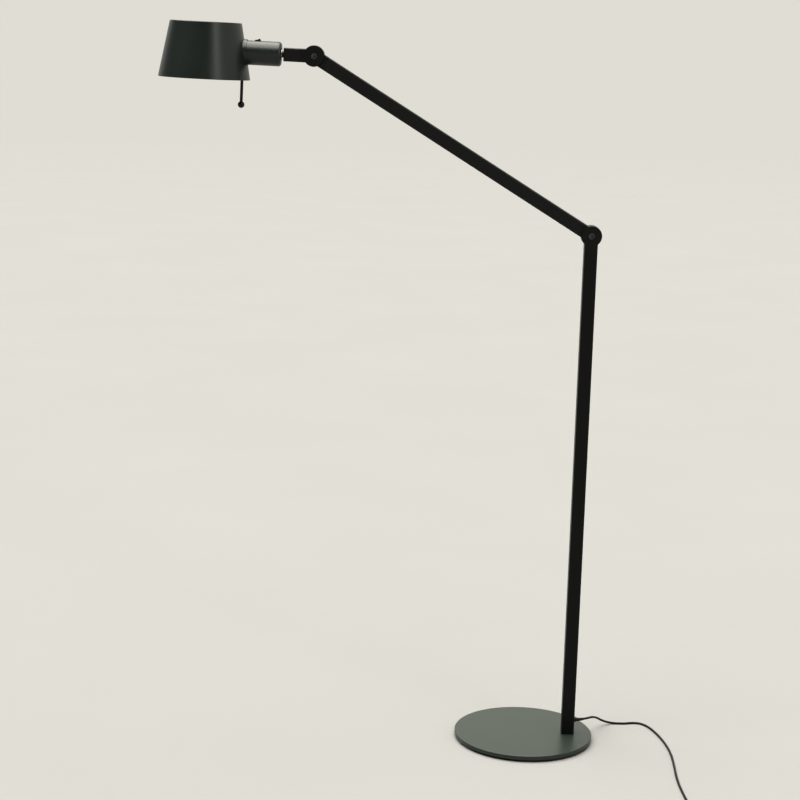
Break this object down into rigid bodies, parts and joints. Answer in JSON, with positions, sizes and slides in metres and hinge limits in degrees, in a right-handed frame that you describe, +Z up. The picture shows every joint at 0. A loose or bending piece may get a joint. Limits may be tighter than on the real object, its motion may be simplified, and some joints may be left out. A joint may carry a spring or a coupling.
{
  "type": "adjustable arm floor lamp",
  "caption": "Free-standing reading lamp: round weighted base, square pole, hinged square arm, hinged link and a swivelling head with a tapered metal shade, rocker switch and ball handle.",
  "frame": {"origin": "centre of the round base, on the floor it stands on", "axes": "+Z up; the arm reaches towards -X from the pole, which stands at +X of the base's centre; the joint bolts lie along Y with their heads at -Y"},
  "size_m": [1.2309, 0.6678, 1.6587],
  "materials": {
    "green_paint": "fine-textured powder coat, very dark green, satin",
    "plate_paint": "fine-textured powder coat, very dark green, satin",
    "head_paint": "fine-textured powder coat, very dark green, satin",
    "shade_paint": "spun aluminium, powder coated very dark green, satin",
    "black_steel": "blackened steel, satin",
    "zinc_steel": "zinc-plated steel",
    "pin_chrome": "nickel-plated brass pins",
    "brass_contacts": "bare brass",
    "black_plastic": "moulded black plastic, semi-matt",
    "plug_plastic": "moulded black PVC plug, fine grained",
    "cord_rubber": "smooth black PVC sheath, slightly glossy",
    "tie_strap": "black hook-and-loop strap",
    "foam_pad": "black closed-cell foam",
    "grey_nylon": "dark grey nylon",
    "bulb_metal": "rolled cap with screw thread",
    "bulb_white": "white moulded plastic",
    "bulb_opal": "opal white diffuser"
  },
  "bodies": {
    "base": {"base_pad": "foam_pad", "base_plate": "plate_paint", "pole_bolt": "zinc_steel", "pole_washer": "zinc_steel", "pole_dowel": "zinc_steel", "pole_foot": "zinc_steel", "pole_tube": "green_paint", "pole_knuckle": "green_paint", "pole_cable": "cord_rubber", "cord_gland": "black_plastic", "gland_nut": "black_plastic", "strain_relief": "cord_rubber", "mains_cord": "cord_rubber", "cord_coil": "cord_rubber", "cord_tail": "cord_rubber", "cord_tie": "tie_strap", "plug_body": "plug_plastic", "plug_pins": "pin_chrome", "elbow_bolt": "black_steel", "elbow_spring_washer": "zinc_steel", "elbow_nut": "black_steel"},
    "arm": {"elbow_friction_rings": "grey_nylon", "arm_lower_knuckle": "green_paint", "arm_tube": "green_paint", "arm_upper_knuckle": "green_paint", "arm_cable": "cord_rubber", "wrist_friction_rings": "grey_nylon"},
    "link": {"wrist_bolt": "black_steel", "wrist_spring_washer": "zinc_steel", "wrist_nut": "black_steel", "link_knuckle": "green_paint", "link_tube": "green_paint", "link_end": "green_paint", "link_cable": "cord_rubber", "swivel_nipple": "zinc_steel", "swivel_spacer": "green_paint", "swivel_washer": "zinc_steel", "swivel_spring": "zinc_steel", "swivel_locknut": "zinc_steel"},
    "head": {"swivel_bush": "grey_nylon", "end_cap": "head_paint", "lamp_housing": "head_paint", "shade_collar": "head_paint", "shade": "shade_paint", "shade_clamp_ring": "black_steel", "handle_rod": "black_steel", "ball_knob": "black_plastic", "switch_body": "black_plastic", "switch_wires": "cord_rubber", "lampholder_ring": "black_plastic", "lampholder_body": "black_plastic", "holder_shell": "brass_contacts", "holder_contact": "brass_contacts", "bulb_cap": "bulb_metal", "bulb_base": "bulb_white", "bulb_globe": "bulb_opal"},
    "rocker": {"switch_rocker": "black_plastic"}
  },
  "joints": [
    {"name": "elbow_hinge", "type": "hinge", "parent": "base", "child": "arm", "pos_m": [0.106, 0, 1.205], "axis": [0, 1, 0], "range_deg": [-40, 60]},
    {"name": "wrist_hinge", "type": "hinge", "parent": "arm", "child": "link", "pos_m": [-0.53173, 0, 1.58819], "axis": [0, 1, 0], "range_deg": [-70, 100]},
    {"name": "head_swivel", "type": "hinge", "parent": "link", "child": "head", "pos_m": [-0.60441, 0, 1.58984], "axis": [0.9997, 0, -0.0227], "range_deg": [-165, 165]},
    {"name": "switch_rock", "type": "hinge", "parent": "head", "child": "rocker", "pos_m": [-0.65713, 0, 1.61624], "axis": [0, 1, 0], "range_deg": [0, 34]}
  ]
}
